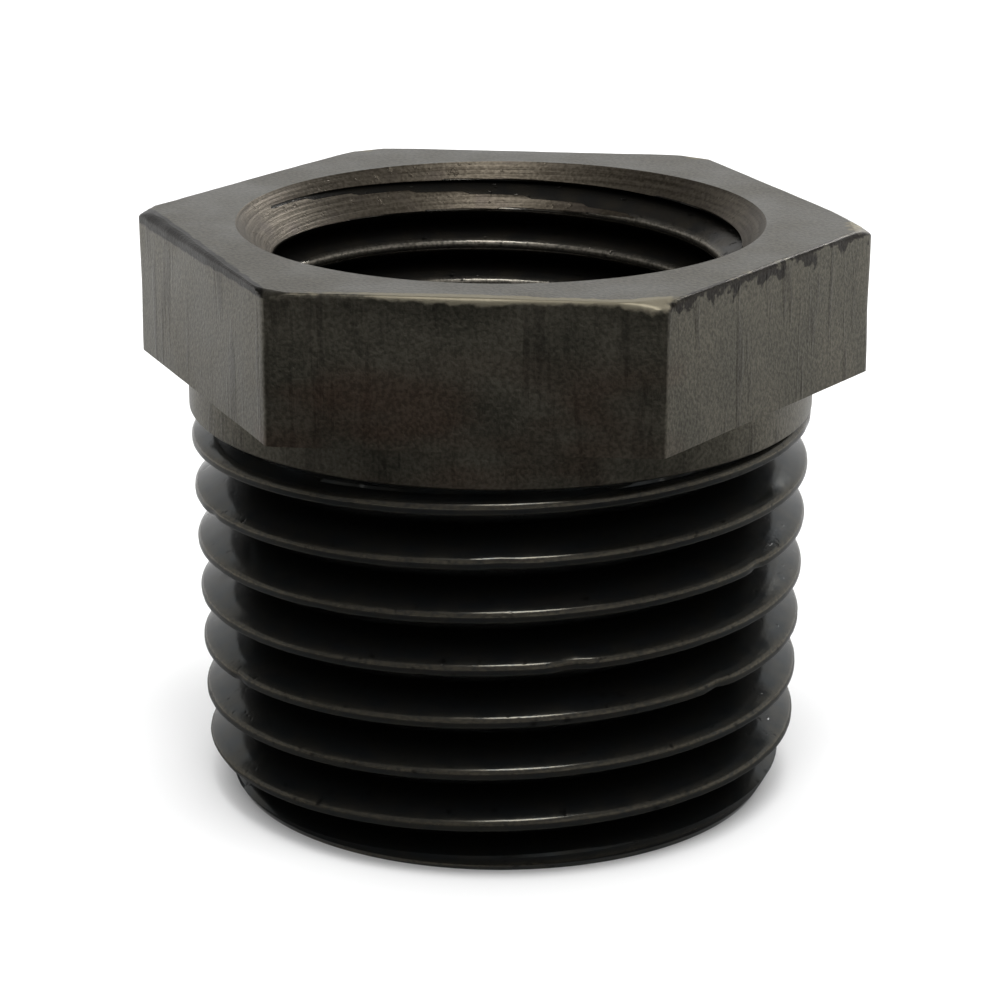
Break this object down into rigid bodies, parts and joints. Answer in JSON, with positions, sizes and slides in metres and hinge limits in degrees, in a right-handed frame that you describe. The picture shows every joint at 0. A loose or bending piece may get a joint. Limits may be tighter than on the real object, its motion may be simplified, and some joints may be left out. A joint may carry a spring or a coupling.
{
  "type": "hex bushing",
  "caption": "Short hexagon-headed reducing bushing with a taper pipe thread outside and a smaller taper pipe thread inside, open from end to end.",
  "frame": {"origin": "centre of the small end face, on the axis of both threads", "axes": "+Z along the axis, from the small end to the hexagon; +X through a corner of the hexagon"},
  "size_m": [0.0248, 0.0216, 0.0197],
  "materials": {
    "oxide_steel": "black oxide, oiled"
  },
  "bodies": {
    "root": {"hex_bushing": "oxide_steel"}
  },
  "joints": []
}
